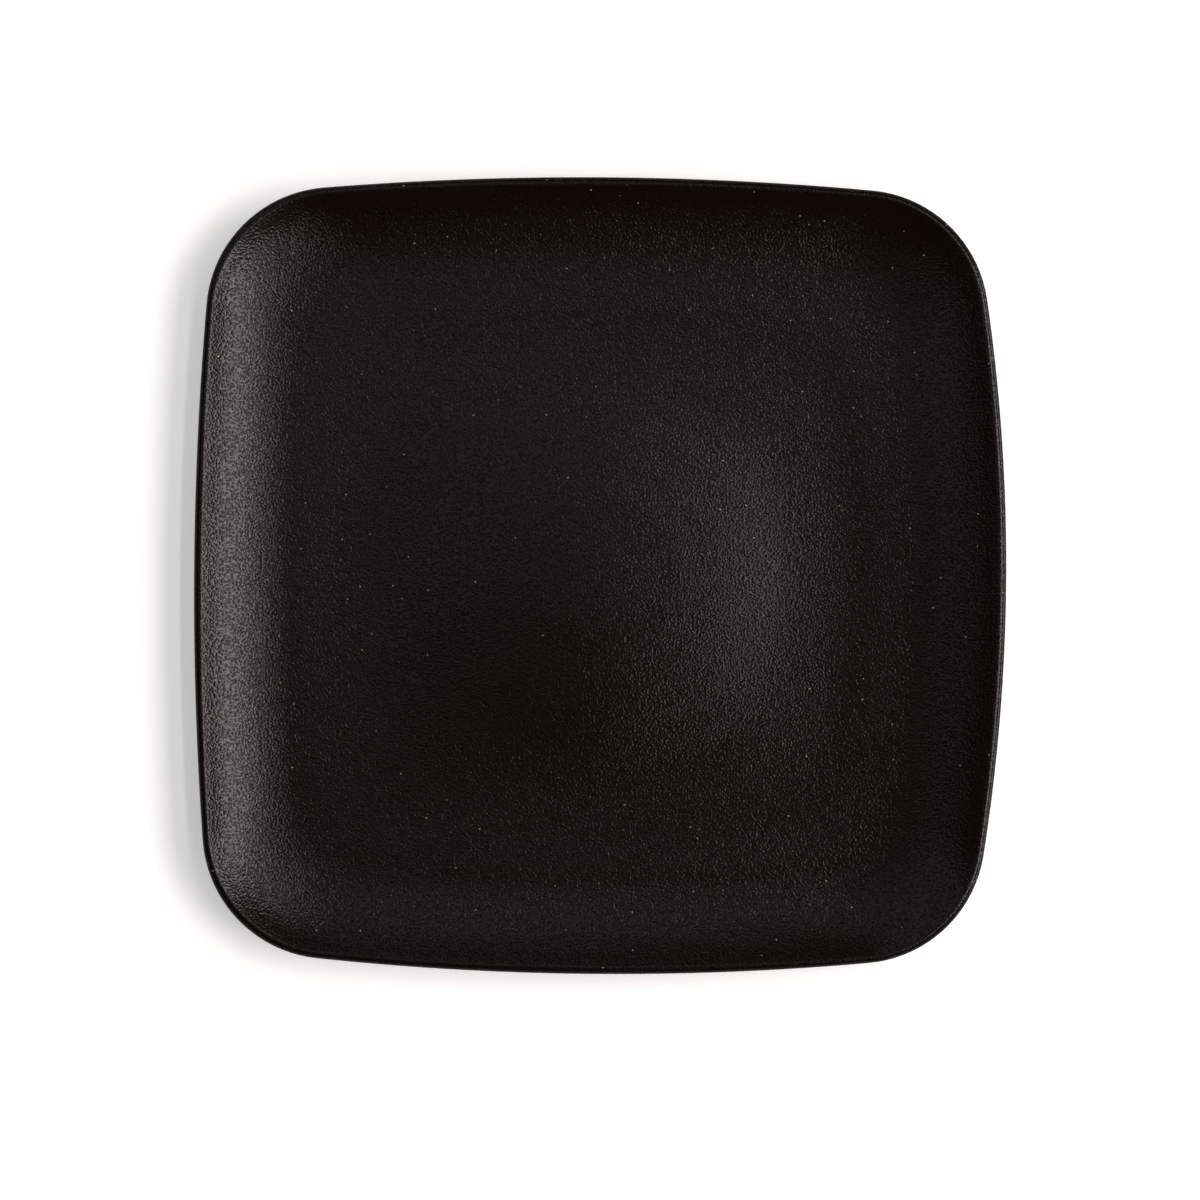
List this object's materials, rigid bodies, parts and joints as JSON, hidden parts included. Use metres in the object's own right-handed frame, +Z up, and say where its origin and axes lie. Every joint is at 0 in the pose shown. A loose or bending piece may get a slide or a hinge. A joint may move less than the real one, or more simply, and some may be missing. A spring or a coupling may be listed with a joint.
{
  "type": "dessert plate",
  "caption": "Soft-square dessert plate with a low coved rim, a full-round lip, a gently crowned well and a ground foot ring, in satin black glazed stoneware.",
  "frame": {"origin": "middle of the plate on the plane that the foot ring stands on", "axes": "+X to the plate's right side, along its width, +Y to its back, +Z up out of the well"},
  "size_m": [0.21, 0.206, 0.017],
  "materials": {
    "stoneware": "matte",
    "black_glaze": "satin"
  },
  "bodies": {
    "root": {"stoneware_body": "stoneware", "plate_glaze": "black_glaze", "base_glaze": "black_glaze"}
  },
  "joints": []
}
